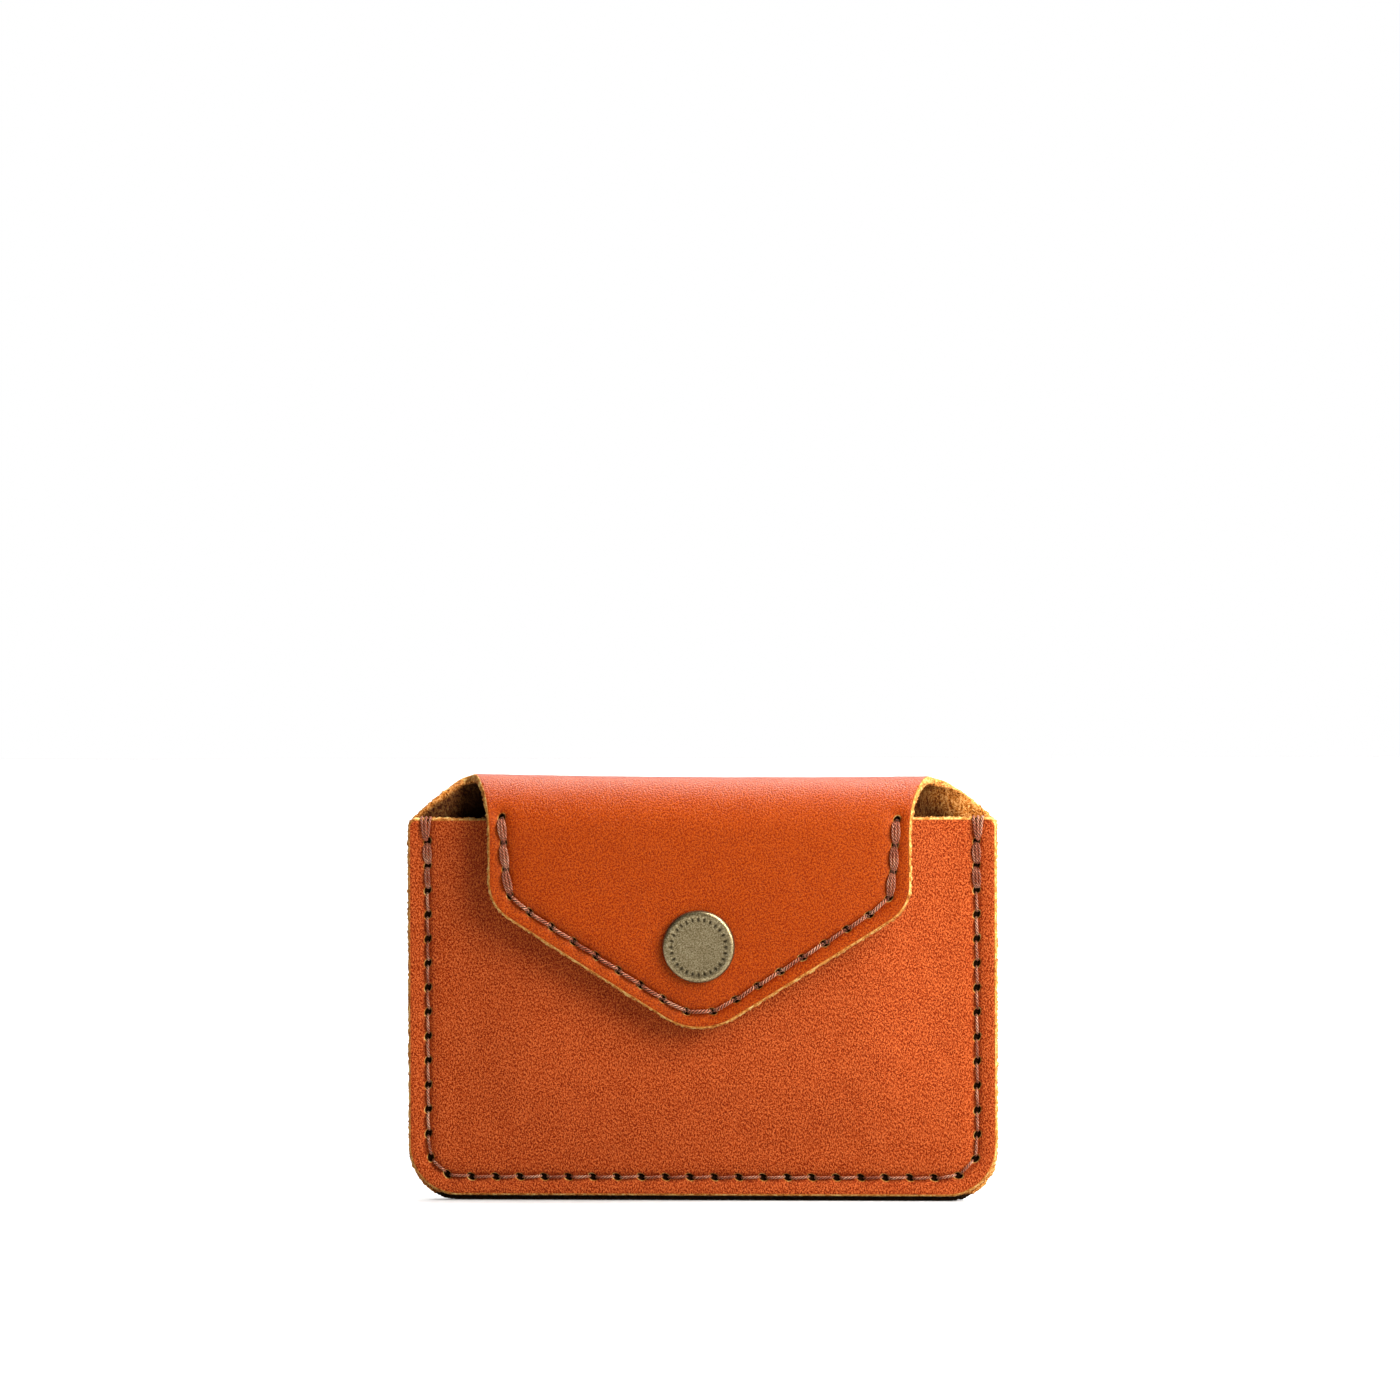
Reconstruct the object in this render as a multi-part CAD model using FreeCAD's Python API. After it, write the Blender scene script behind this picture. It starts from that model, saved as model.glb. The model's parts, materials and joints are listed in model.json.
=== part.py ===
"""Leather card holder with a fold-over flap and a snap, as an assembly of separate solids, in millimetres.

Two leather panels are sewn together round three sides into a pocket that is open at the top. The rear
panel runs on over the mouth as a flap, which folds down in front and is held by a snap. The fold is cut
into strips between its bends, so that the strips can turn about one another as the leather unrolls.

Frame: +X along the mouth, +Y to the rear, +Z up. The origin is under the middle of the whole object, on
the surface that it stands on. Depths below are first measured from the seam, where the two panels meet,
and moved by `seam_y`.
"""
import FreeCAD, Part
import math
import os

from FreeCAD import Vector as V

# ---- driving dimensions --------------------------------------------------------------------------
leather = 1.5            # thickness of every panel
width = 102.0            # across the pocket
mouth_z = 66.0           # top edge of the front panel
overall_z = 73.8         # top of the fold
corner_r = 8.7           # bottom corners
shoulder_r = 1.5         # top corners of the panels
shoulder_slope = 1.18    # how much each side of the flap narrows per millimetre of height

flange = 4.6             # width of the flat sewn border at the sides
foot_flange = 5.2        # its height along the bottom
rear_belly = 3.8         # how far the rear panel stands back from the seam
rear_wall = 2.1          # width of the rear belly's side walls
rear_foot = 3.5          # height of the rear belly's lower wall
front_belly = 1.6        # how far the front panel stands forward of the seam
front_wall = 17.0        # width of the front belly's gentle side slopes
front_foot = 16.0        # height of the front belly's gentle lower slope

flap_half = 36.4         # half width of the hanging part of the flap
flap_corner_z = 51.2     # where the flap's side meets its slanted lower edge, before rounding
flap_tip_z = 28.7        # where the two slanted edges meet, before rounding
flap_corner_r = 7.4
flap_tip_r = 11.3
flap_fillet = 13.0       # radius that leads the shoulder into the flap's straight side

bend_radii = (2.0, 6.0, 5.0)        # outer radii of the fold's three bends, from the rear to the front
bend_angles = (80.0, 40.0, 60.0)    # degrees, half a turn in all
strip_gap = 0.1          # left between two strips of the fold

seam_inset = 3.4         # stitch line to edge, at the pocket's sides
seam_foot_z = 4.0        # height of the stitch line along the bottom
flap_inset = 2.6         # stitch line to edge, on the flap
seam_stitches = 51
flap_stitches = 23
seam_start_z = 66.5      # first needle hole, just over the front panel's top edge
flap_start_z = 66.6
thread_r = 0.3
hole_length = 1.5
hole_width = 0.9
leg_offset = 0.38        # half the distance between the two legs of thread in one hole
lift = 0.02              # clearance between thread and leather
leg_gap = 0.1            # left between the upper and lower threads, where they would be twisted together
seam_locks = (3, 2)      # strands in the first stitches of the pocket seam
flap_locks = (3, 3, 3)   # strands in the first stitches of the flap's row

snap_z = 44.4
snap_gap = 3.8           # between the front panel and the flap, at the closed snap
cap_r = 6.2
cap_height = 1.2
plate = 0.5              # sheet metal of the stud's and socket's bases
shell = 0.35             # drawn metal
clear = 0.05             # working clearance between pieces
stud_height = 2.8
stud_flange_r = 5.2
neck_r = 2.3
neck_length = 1.15
bulb_r = 2.75
post_r = 1.5
post_hole_r = 1.55
post_bore_r = 1.1
socket_r = 5.6
socket_height = 3.1
socket_mouth_r = 3.4
socket_wall = 0.7
rim = 0.28
barrel_r = 1.85
barrel_bore_r = 1.35
barrel_hole_r = 1.9
flare_r = 2.6
flare = 0.25
spring_wire_r = 0.35
cap_edge_r = 0.5         # rounding of the cap's edge
cap_dish = 0.12          # how far the cap's middle dips below its raised border
cap_border_r = 4.9
mark_count = 30          # small stamped dots round the cap
mark_r = 0.22

# ---- places worked out from them -----------------------------------------------------------------
half = width / 2
rear_face = rear_belly + leather
front_face = -front_belly - leather
flap_back = front_face - snap_gap
flap_front = flap_back - leather
flap_middle = (flap_back + flap_front) / 2
cap_front = flap_front - cap_height
seam_y = -(rear_face + cap_front) / 2
past = 20.0              # how far a cutting prism runs past the solid that it trims


def turned(direction, degrees):
    """A direction in the YZ plane, turned from up towards the front."""
    a = math.radians(degrees)
    y, z = direction
    return (y * math.cos(a) - z * math.sin(a), y * math.sin(a) + z * math.cos(a))


def inward(direction):
    """The side of the fold's path that the pocket is on."""
    return (-direction[1], direction[0])


def moved(point, direction, length):
    return (point[0] + direction[0] * length, point[1] + direction[1] * length)


# ---- outlines ------------------------------------------------------------------------------------
def rounded(corners, place, closed=True):
    """A wire through (x, z, radius) corners, each rounded by an arc; place(x, z) gives a point in space."""
    count = len(corners)
    ends = []
    for i, (x, z, radius) in enumerate(corners):
        at = V(x, z, 0)
        if radius == 0 or (not closed and i in (0, count - 1)):
            ends.append((at, None, at))
            continue
        before = V(corners[i - 1][0], corners[i - 1][1], 0) - at
        after = V(corners[(i + 1) % count][0], corners[(i + 1) % count][1], 0) - at
        before.normalize()
        after.normalize()
        turn = before.getAngle(after) / 2
        reach = radius / math.tan(turn)
        bisector = before + after
        bisector.normalize()
        middle = at + bisector * (radius / math.sin(turn) - radius)
        ends.append((at + before * reach, middle, at + after * reach))
    edges = []
    for i, (start, middle, end) in enumerate(ends):
        if middle is not None:
            through = [place(p.x, p.y) for p in (start, middle, end)]
            edges.append(Part.Arc(*through).toShape())
        if i + 1 < count or closed:
            follow = ends[(i + 1) % count][0]
            edges.append(Part.LineSegment(place(end.x, end.y), place(follow.x, follow.y)).toShape())
    return Part.Wire(edges)


def upright(y):
    """Places flat (x, z) points on the vertical plane at that depth from the seam."""
    return lambda x, z: V(x, y, z)


def prism(corners, y_from, y_to):
    face = Part.Face(rounded(corners, upright(y_from)))
    return face.extrude(V(0, y_to - y_from, 0))


def mirrored(right_side):
    """A whole outline from its right half, listed from bottom to top."""
    left_side = [(-x, z, r) for x, z, r in reversed(right_side)]
    return right_side + left_side


def shoulder_x(z):
    return half - shoulder_slope * (z - mouth_z)


# ---- the fold's path, along its outer surface ----------------------------------------------------
up = (0.0, 1.0)
first_rise = bend_radii[0] * math.sin(math.radians(bend_angles[0]))
straight_depth = rear_face - flap_front
headings = [up]
for bend_angle in bend_angles:
    headings.append(turned(headings[-1], bend_angle))


def bend_step(radius, heading, angle):
    """How far a bend carries the path."""
    centre = moved((0, 0), inward(heading), radius)
    return moved(centre, inward(turned(heading, angle)), -radius)


steps = [bend_step(r, h, a) for r, h, a in zip(bend_radii, headings, bend_angles)]
straight_depth += sum(step[0] for step in steps)
straight = -straight_depth / (headings[1][0] + headings[2][0])      # the two flats between bends are alike
crown = bend_radii[1] * (1 - math.sin(math.radians(bend_angles[0])))
fold_z = overall_z - crown - straight * headings[1][1] - first_rise

bend_starts = []
place_now = (rear_face, fold_z)
for i, step in enumerate(steps):
    bend_starts.append(place_now)
    place_now = (place_now[0] + step[0], place_now[1] + step[1])
    if i < 2:
        place_now = moved(place_now, headings[i + 1], straight)
flap_top_z = place_now[1]


def on_bend(i, share):
    """The point part of the way round a bend, and the heading there."""
    angle = bend_angles[i] * share
    step = bend_step(bend_radii[i], headings[i], angle)
    start = bend_starts[i]
    return (start[0] + step[0], start[1] + step[1]), turned(headings[i], angle)


def path_lengths():
    """Length along the fold from the mouth's height, with the place there, at each mark of the plan."""
    marks = []
    length = fold_z - mouth_z
    for i in range(3):
        arc = bend_radii[i] * math.radians(bend_angles[i])
        for share in (0, 0.5, 1):
            marks.append((length + arc * share, on_bend(i, share)[0]))
        length += arc + straight
    return marks


def half_width(length):
    """Half width of the leather at that length along the fold: the straight shoulder, then its fillet."""
    lean = math.atan(shoulder_slope)
    reach = flap_fillet * math.tan(lean / 2)
    fillet_end = (half - flap_half) / shoulder_slope + reach
    fillet_start = fillet_end - flap_fillet * math.sin(lean)
    if length <= fillet_start:
        return half - shoulder_slope * length
    if length >= fillet_end:
        return flap_half
    return flap_half + flap_fillet - math.sqrt(flap_fillet ** 2 - (fillet_end - length) ** 2)


def strip_section(start, heading, moves):
    """Section of a sheet whose outer face follows moves: ("line", length) or ("bend", radius, angle)."""
    outer, inner = [], []
    point = start
    for kind, *sizes in moves:
        side = inward(heading)
        if kind == "line":
            end = moved(point, heading, sizes[0])
            pair = [(moved(point, side, depth), moved(end, side, depth)) for depth in (0, leather)]
            edges = [Part.LineSegment(V(0, *a), V(0, *b)).toShape() for a, b in pair]
        else:
            radius, angle = sizes
            centre = moved(point, side, radius)
            sides = [inward(turned(heading, angle * share)) for share in (0, 0.5, 1)]
            edges = []
            for reach in (radius, radius - leather):
                edges.append(Part.Arc(*[V(0, *moved(centre, s, -reach)) for s in sides]).toShape())
            end = moved(centre, sides[2], -radius)
            heading = turned(heading, angle)
        outer.append(edges[0])
        inner.append(edges[1])
        point = end
    far_cap = Part.LineSegment(outer[-1].Vertexes[-1].Point, inner[-1].Vertexes[-1].Point).toShape()
    near_cap = Part.LineSegment(inner[0].Vertexes[0].Point, outer[0].Vertexes[0].Point).toShape()
    return Part.Wire(Part.__sortEdges__(outer + [far_cap] + inner + [near_cap]))


def strip(start, heading, moves):
    """That section as a sheet across the whole width."""
    face = Part.Face(strip_section(start, heading, moves))
    face.translate(V(-half, 0, 0))
    return face.extrude(V(width, 0, 0))


def half_bend(i):
    """Half of a bend, short of its middle by half the gap between strips."""
    gap_angle = math.degrees(strip_gap / 2 / bend_radii[i])
    return ("bend", bend_radii[i], bend_angles[i] / 2 - gap_angle)


def start_after_middle(i):
    gap_share = math.degrees(strip_gap / 2 / bend_radii[i]) / bend_angles[i]
    return on_bend(i, 0.5 + gap_share)


# ---- leather panels ------------------------------------------------------------------------------
def belly(inset_side, inset_foot, foot_r, depth):
    """The hollow that a panel makes with the seam plane: a tub with sloping sides, open at the top."""
    top = overall_z + past
    x0, z0 = half - flange, foot_flange
    x1, z1 = x0 - inset_side, z0 + inset_foot
    base = mirrored([(x0, z0, corner_r - flange), (x0, top, 0)])
    crest = mirrored([(x1, z1, foot_r), (x1, top, 0)])
    wires = [rounded(base, upright(0)), rounded(crest, upright(depth))]
    return Part.makeLoft(wires, True, True)


def tray(outline, tub, thickness):
    """A panel of that outline with a tub pressed into it."""
    plate = prism(outline, 0, thickness)
    depth = 2 * (rear_face - front_face)
    allowed = prism(outline, -depth, depth)
    raised = tub.copy()
    raised.translate(V(0, thickness, 0))
    return plate.fuse(raised.common(allowed)).cut(tub).removeSplitter()


def slots(points, centre_y, length_y):
    """Needle holes along a row of stitches, each turned along the row."""
    cutters = []
    for i, point in enumerate(points):
        before = points[max(i - 1, 0)]
        after = points[min(i + 1, len(points) - 1)]
        along = after - before
        cutter = Part.makeBox(hole_length, length_y, hole_width)
        cutter.translate(V(-hole_length / 2, centre_y - length_y / 2, -hole_width / 2))
        cutter.rotate(V(0, 0, 0), V(0, 1, 0), -math.degrees(math.atan2(along.z, along.x)))
        cutter.translate(point)
        cutters.append(cutter)
    return Part.makeCompound(cutters)


def seam_points():
    """Needle holes of the pocket seam, from the left end of the mouth round to the right end."""
    x = half - seam_inset
    radius = corner_r - seam_inset
    corners = [(-x, seam_start_z, 0), (-x, seam_foot_z, radius),
               (x, seam_foot_z, radius), (x, seam_start_z, 0)]
    return rounded(corners, upright(0), closed=False).discretize(seam_stitches + 1)


def flap_points():
    """Needle holes of the flap's row, from its left top end round the tip to the right."""
    slope = (flap_corner_z - flap_tip_z) / flap_half
    x = flap_half - flap_inset
    tip = flap_tip_z + flap_inset * math.hypot(1, slope)
    corner = tip + slope * x
    radius = flap_corner_r - flap_inset
    tip_radius = flap_tip_r - flap_inset
    corners = [(-x, flap_start_z, 0), (-x, corner, radius), (0, tip, tip_radius), (x, corner, radius),
               (x, flap_start_z, 0)]
    return rounded(corners, upright(0), closed=False).discretize(flap_stitches + 1)


def snap_hole(radius):
    return Part.makeCylinder(radius, 2 * past, V(0, -past, snap_z), V(0, 1, 0))


def make_front_panel():
    outline = mirrored([(half, 0, corner_r), (half, mouth_z, shoulder_r)])
    tub = belly(front_wall, front_foot, corner_r, -front_belly)
    panel = tray(outline, tub, -leather)
    return panel.cut(slots(seam_points(), 0, 4 * leather)).cut(snap_hole(post_hole_r))


def make_back_panel():
    (_, bend_z), _ = on_bend(0, 0.5)
    outline = mirrored([(half, 0, corner_r), (half, mouth_z, shoulder_r), (shoulder_x(fold_z), fold_z, 0)])
    tub = belly(rear_wall, rear_foot, corner_r - flange, rear_belly)
    panel = tray(outline, tub, leather)
    lip = strip((rear_face, fold_z), up, [half_bend(0)])
    lip_outline = mirrored([(shoulder_x(fold_z), fold_z - leather, 0), (shoulder_x(fold_z), fold_z, 0),
                            (half_width(path_lengths()[1][0]), bend_z, 0)])
    lip = lip.common(prism(lip_outline, -past, past))
    return panel.fuse(lip).removeSplitter().cut(slots(seam_points(), 0, 4 * leather))


def fold_plan():
    """The fold seen from above, as a cutter: its half width follows the path's marks."""
    marks = [(half_width(length), place[0]) for length, place in path_lengths()]
    side = Part.BSplineCurve()
    side.interpolate([V(x, y, 0) for x, y in marks])
    right = side.toShape()
    left = right.mirror(V(0, 0, 0), V(1, 0, 0))
    ends = []
    for y in (marks[0][1], marks[-1][1]):
        x = next(m[0] for m in marks if m[1] == y)
        ends.append(Part.LineSegment(V(-x, y, 0), V(x, y, 0)).toShape())
    face = Part.Face(Part.Wire(Part.__sortEdges__([right, ends[1], left, ends[0]])))
    return face.extrude(V(0, 0, overall_z + past))


def make_fold_strip(first):
    """One strip of the fold, from the middle of one bend to the middle of the next."""
    start, heading = start_after_middle(first)
    moves = [half_bend(first), ("line", straight), half_bend(first + 1)]
    return strip(start, heading, moves).common(fold_plan())


def make_flap_panel():
    start, heading = start_after_middle(2)
    sheet = strip(start, heading, [half_bend(2), ("line", flap_top_z - flap_tip_z)])
    outline = [(0, flap_tip_z, flap_tip_r)] + mirrored([(flap_half, flap_corner_z, flap_corner_r),
                                                        (flap_half, overall_z, 0)])
    sheet = sheet.common(prism(outline, -past, past))
    holes = slots(flap_points(), flap_middle, 4 * leather)
    return sheet.cut(holes).cut(snap_hole(barrel_hole_r))


# ---- thread --------------------------------------------------------------------------------------
def stitch(start, end, face_y, meet_a, meet_b):
    """One stitch: a run of thread on the face, with a leg down each hole to meet the other thread."""
    along = end - start
    along.normalize()
    out = V(0, math.copysign(1, face_y - meet_a), 0)
    bend = thread_r + lift
    half_turn = math.sqrt(0.5)
    paths = []
    for hole, step, meet in ((start, along, meet_a), (end, along * -1, meet_b)):
        foot = hole + step * leg_offset
        foot.y = face_y
        low = V(foot.x, meet + out.y * leg_gap / 2, foot.z)
        middle = foot + step * bend * (1 - half_turn) + out * bend * half_turn
        paths.append((low, foot, middle, foot + (step + out) * bend))
    (low_a, foot_a, mid_a, run_a), (low_b, foot_b, mid_b, run_b) = paths
    wire = Part.Wire([Part.LineSegment(low_a, foot_a).toShape(), Part.Arc(foot_a, mid_a, run_a).toShape(),
                      Part.LineSegment(run_a, run_b).toShape(), Part.Arc(run_b, mid_b, foot_b).toShape(),
                      Part.LineSegment(foot_b, low_b).toShape()])
    ring = Part.Wire(Part.makeCircle(thread_r, low_a, out))
    return wire.makePipeShell([ring], True, False)


def lock_strand(start, end, face_y, outward_y, aside):
    """An extra strand beside a locked stitch, lying on the face."""
    along = end - start
    length = along.Length - 2 * (leg_offset + thread_r)
    along.normalize()
    across = along.cross(V(0, 1, 0)) * aside
    foot = start + along * (leg_offset + thread_r) + across
    foot.y = face_y + outward_y * (thread_r + lift)
    return Part.makeCylinder(thread_r, length, foot, along)


def thread_row(points, face_y, meet_y, locks, end_meet_y):
    """A row of stitches with locked ends. The two threads meet at depth meet_y, at the ends end_meet_y."""
    row = []
    last = len(points) - 2
    for i in range(len(points) - 1):
        meets = [end_meet_y if at_end else meet_y for at_end in (i == 0, i == last)]
        row.append(stitch(points[i], points[i + 1], face_y, *meets))
        from_end = min(i, last - i)
        strands = locks[from_end] if from_end < len(locks) else 1
        for extra in range(1, strands):
            aside = (1 if extra == 1 else -1) * (2 * thread_r + lift)
            side = math.copysign(1, face_y - meet_y)
            row.append(lock_strand(points[i], points[i + 1], face_y, side, aside))
    return Part.makeCompound(row)


# ---- snap ----------------------------------------------------------------------------------------
def turned_part(profile):
    """A closed (radius, depth) profile turned about the snap's axis."""
    corners = [V(radius, depth, snap_z) for radius, depth in profile]
    face = Part.Face(Part.makePolygon(corners + corners[:1]))
    return face.revolve(V(0, 0, snap_z), V(0, 1, 0), 360)


def make_snap_stud():
    base = front_face
    seat = base - plate
    neck_end = seat - neck_length
    tip = base - stud_height
    bore_r = neck_r - shell
    return turned_part([(post_hole_r, base), (stud_flange_r, base), (stud_flange_r, seat), (neck_r, seat),
                        (neck_r, neck_end), (bulb_r, neck_end - shell), (bulb_r, tip + plate), (bore_r, tip),
                        (0, tip), (0, tip + shell), (bore_r, tip + shell), (bore_r, seat),
                        (post_hole_r, seat)])


def make_snap_post():
    inner = -front_belly
    flange_top = inner + plate
    seat = front_face - plate
    return turned_part([(post_bore_r, flange_top), (stud_flange_r, flange_top), (stud_flange_r, inner),
                        (post_r, inner), (post_r, seat), (neck_r - shell - clear, seat),
                        (neck_r - shell - clear, seat - flare), (post_bore_r, seat - flare)])


def make_snap_socket():
    top = flap_back
    floor = top + plate
    mouth = top + socket_height
    cavity_r = socket_r - socket_wall
    return turned_part([(barrel_hole_r, top), (socket_r, top), (socket_r, mouth), (socket_mouth_r, mouth),
                        (socket_mouth_r, mouth - rim), (cavity_r, mouth - rim), (cavity_r, floor),
                        (barrel_hole_r, floor)])


def make_snap_spring():
    """A hairpin of spring wire whose two arms lie either side of the stud's neck."""
    depth = flap_back + socket_height - rim - clear - spring_wire_r
    arm_x = neck_r + spring_wire_r + clear
    low, high = snap_z - 3.2, snap_z + 1.6
    wire = Part.Wire([
        Part.LineSegment(V(arm_x, depth, low), V(arm_x, depth, high)).toShape(),
        Part.Arc(V(arm_x, depth, high), V(0, depth, high + arm_x), V(-arm_x, depth, high)).toShape(),
        Part.LineSegment(V(-arm_x, depth, high), V(-arm_x, depth, low)).toShape()])
    ring = Part.Wire(Part.makeCircle(spring_wire_r, V(arm_x, depth, low), V(0, 0, 1)))
    return wire.makePipeShell([ring], True, False)


def make_snap_cap():
    floor = flap_back + plate
    edge = flap_front - cap_height + cap_edge_r
    body = turned_part([(barrel_bore_r, flap_front - shell), (barrel_bore_r, floor + flare),
                        (flare_r, floor + flare), (flare_r, floor), (barrel_r, floor),
                        (barrel_r, flap_front), (cap_r, flap_front),
                        (cap_r, edge), (cap_r - cap_edge_r * 0.3, edge - cap_edge_r * 0.7),
                        (cap_r - cap_edge_r, cap_front), (cap_border_r, cap_front),
                        (cap_border_r - 2 * cap_dish, cap_front + cap_dish), (0, cap_front + cap_dish),
                        (0, flap_front - shell)])
    ring_r = (cap_border_r + cap_r - cap_edge_r) / 2
    marks = []
    for i in range(mark_count):
        angle = 2 * math.pi * i / mark_count
        centre = V(ring_r * math.cos(angle), cap_front, snap_z + ring_r * math.sin(angle))
        marks.append(Part.makeSphere(mark_r, centre))
    return body.cut(Part.makeCompound(marks))


# ---- assembly ------------------------------------------------------------------------------------
def assembly():
    seam = seam_points()
    flap_row = flap_points()
    return {
        "back_panel": make_back_panel(),
        "front_panel": make_front_panel(),
        "fold_rear": make_fold_strip(0),
        "fold_front": make_fold_strip(1),
        "flap_panel": make_flap_panel(),
        "seam_needle_thread": thread_row(seam, -leather, 0, seam_locks, leather / 2),
        "seam_bobbin_thread": thread_row(seam, leather, 0, seam_locks, leather / 2),
        "flap_needle_thread": thread_row(flap_row, flap_front, flap_middle, flap_locks, flap_middle),
        "flap_bobbin_thread": thread_row(flap_row, flap_back, flap_middle, flap_locks, flap_middle),
        "snap_cap": make_snap_cap(),
        "snap_socket": make_snap_socket(),
        "snap_spring": make_snap_spring(),
        "snap_stud": make_snap_stud(),
        "snap_post": make_snap_post(),
    }


def main():
    os.makedirs("parts", exist_ok=True)
    for name, shape in assembly().items():
        shape.translate(V(0, seam_y, 0))
        shape.exportStep(f"parts/{name}.step")
        box = shape.optimalBoundingBox(True, False)
        print(f"{name}: {len(shape.Solids)} solids, valid {shape.isValid()}, volume {shape.Volume:.1f},",
              f"y {box.YMin:.2f} to {box.YMax:.2f}, z {box.ZMin:.2f} to {box.ZMax:.2f}")
    for i in range(3):
        (y, z), _ = on_bend(i, 0.5)
        print(f"fold axis {i + 1}: y {y + seam_y:.3f}, z {z:.3f}")


main()
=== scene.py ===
"""The looks of a sewn leather card holder, built round its CAD frame.

The leather is modelled as shells. Each is laid out flat as a mesh of small triangles, finer along its
edges and stitches, and then bent to its place in space. The first of its two flat coordinates runs along
the mouth and the second up the leather. Threads are twisted from three plies. Lengths are in millimetres
until `make_mesh` turns them into metres.
"""
import json
import math

import bpy
import numpy as np
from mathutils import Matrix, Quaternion, Vector, kdtree, noise
from mathutils.geometry import delaunay_2d_cdt


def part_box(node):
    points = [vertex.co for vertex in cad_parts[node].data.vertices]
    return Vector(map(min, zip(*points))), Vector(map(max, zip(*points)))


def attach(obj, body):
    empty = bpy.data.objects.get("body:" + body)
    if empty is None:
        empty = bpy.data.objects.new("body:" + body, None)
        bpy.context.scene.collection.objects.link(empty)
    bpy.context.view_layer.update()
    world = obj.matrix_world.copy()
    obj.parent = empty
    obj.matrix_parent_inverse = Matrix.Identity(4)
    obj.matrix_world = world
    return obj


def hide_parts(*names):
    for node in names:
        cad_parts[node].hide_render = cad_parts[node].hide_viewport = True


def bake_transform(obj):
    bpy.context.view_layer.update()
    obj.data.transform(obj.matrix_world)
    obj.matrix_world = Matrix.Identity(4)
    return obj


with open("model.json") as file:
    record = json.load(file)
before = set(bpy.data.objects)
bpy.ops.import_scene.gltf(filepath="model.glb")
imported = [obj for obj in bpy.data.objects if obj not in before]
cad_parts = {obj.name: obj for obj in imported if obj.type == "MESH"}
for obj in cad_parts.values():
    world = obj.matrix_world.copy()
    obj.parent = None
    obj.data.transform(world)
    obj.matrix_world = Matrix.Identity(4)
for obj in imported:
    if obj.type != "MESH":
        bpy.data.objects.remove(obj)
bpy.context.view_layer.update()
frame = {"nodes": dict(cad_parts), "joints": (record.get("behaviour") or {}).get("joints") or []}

MM = 0.001
rng = np.random.default_rng(7)


def cad(node):
    """A CAD node's lowest and highest corner, in millimetres."""
    low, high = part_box(node)
    return np.array(low) / MM, np.array(high) / MM


# ---- sizes from the frame
_, back_high = cad("back_panel")
front_low, front_high = cad("front_panel")
flap_low, flap_high = cad("flap_panel")
cap_low, cap_high = cad("snap_cap")
half_width = back_high[0]
seam_y = front_high[1]
rear_face = back_high[1]
mouth_z = front_high[2]
flap_half = flap_high[0]
flap_front = flap_low[1]
snap_z = (cap_low[2] + cap_high[2]) / 2
pivots = [np.array(joint["pos_m"][1:]) / MM for joint in frame["joints"]]
bend_angles = [joint["range_deg"][1] for joint in frame["joints"]]

# ---- sizes of the leather and the stitching
LEATHER = 1.5
CORNER_R = 8.7
SHOULDER_R = 1.5
SHOULDER_DROP = 0.4    # how far the rear panel's shoulders lie below the mouth
TURN_X, TURN_S, TURN_R = 40.6, 74.8, 6.0    # where the fold's outline turns from the shoulder to the flap
SWEEP_S, SWEEP_R = 88.0, 30.0    # where it has narrowed to the flap
FRONT_LIFT, MOUTH_RISE = 0.9, 0.25    # the front panel's lower edge and its mouth, against the CAD's
FLAP_CORNER_Z, FLAP_CORNER_R = 51.2, 7.4
FLAP_TIP_Z, FLAP_TIP_R = 28.7, 11.3
FLANGE = 4.6    # width of the flat sewn border
REAR_WALL, REAR_WALL_AT_MOUTH, REAR_FOOT = 11.0, 8.0, 12.0    # widths of the slopes round the bulges
FRONT_WALL, FRONT_FOOT = 19.0, 18.0
FOLD_DROP = (0.42, 0.28, -0.30)    # how far the fold sinks: its constant, linear and square parts
SIDE_CURL, TIP_CURL = 0.35, 0.3    # how far the flap's edges turn inward
SNAP_DIP = (0.35, 9.0)    # depth and width of the hollow round the snap
BEND_RADII = (2.0, 6.0, 5.0)
BEND_SPREADS = (1.5, 1.9, 2.9)    # how many times its own arc each bend is eased over
GRAIN_ROUND, SUEDE_ROUND = 0.55, 0.2    # rounding of the edges of the two faces
SEAM_INSET, SEAM_FOOT, SEAM_STITCHES, SEAM_TOP = 3.4, 4.1, 51, 66.5
FLAP_INSET, FLAP_STITCHES, FLAP_TOP = 2.6, 23, 66.6
SEAM_SLANT, FLAP_SLANT = math.radians(-28), math.radians(20)
HOLE_LONG, HOLE_WIDE, HOLE_DEPTH = 0.74, 0.52, 1.15
ROW_GROOVE, ROW_DIP, HOLE_DIP = (0.26, 0.55), (0.42, 1.45), (0.20, 0.85)    # hollows' depths and widths
HOLE_LIP, HOLE_LIP_AT = (0.07, 0.4), 1.75    # the raised ring round a hole, in hole sizes from its middle
FRAY, FRAY_FINE, FRAY_COARSE = 0.05, 0.40, 0.12    # how far the cut edge stands out, and its unevenness
SPLIT_RECESS = 0.3    # how far the edge is drawn in where the sheet is split
NAP = 0.05    # unevenness of the suede
REAR_BEND_START, SHOULDER_BEND_REACH = 3.6, 4.8    # from the mouth, and past the shoulder's middle
THREAD_R, PLY_R, TWIST = 0.18, 0.125, 1.8
STRANDS_APART, LOCK_SCALE = 0.56, 0.8
LOCK_REACH, LOCK_LIFT, TOP_LIFT = 0.12, 0.14, 0.12    # how locked strands and the top one of three differ

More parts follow.
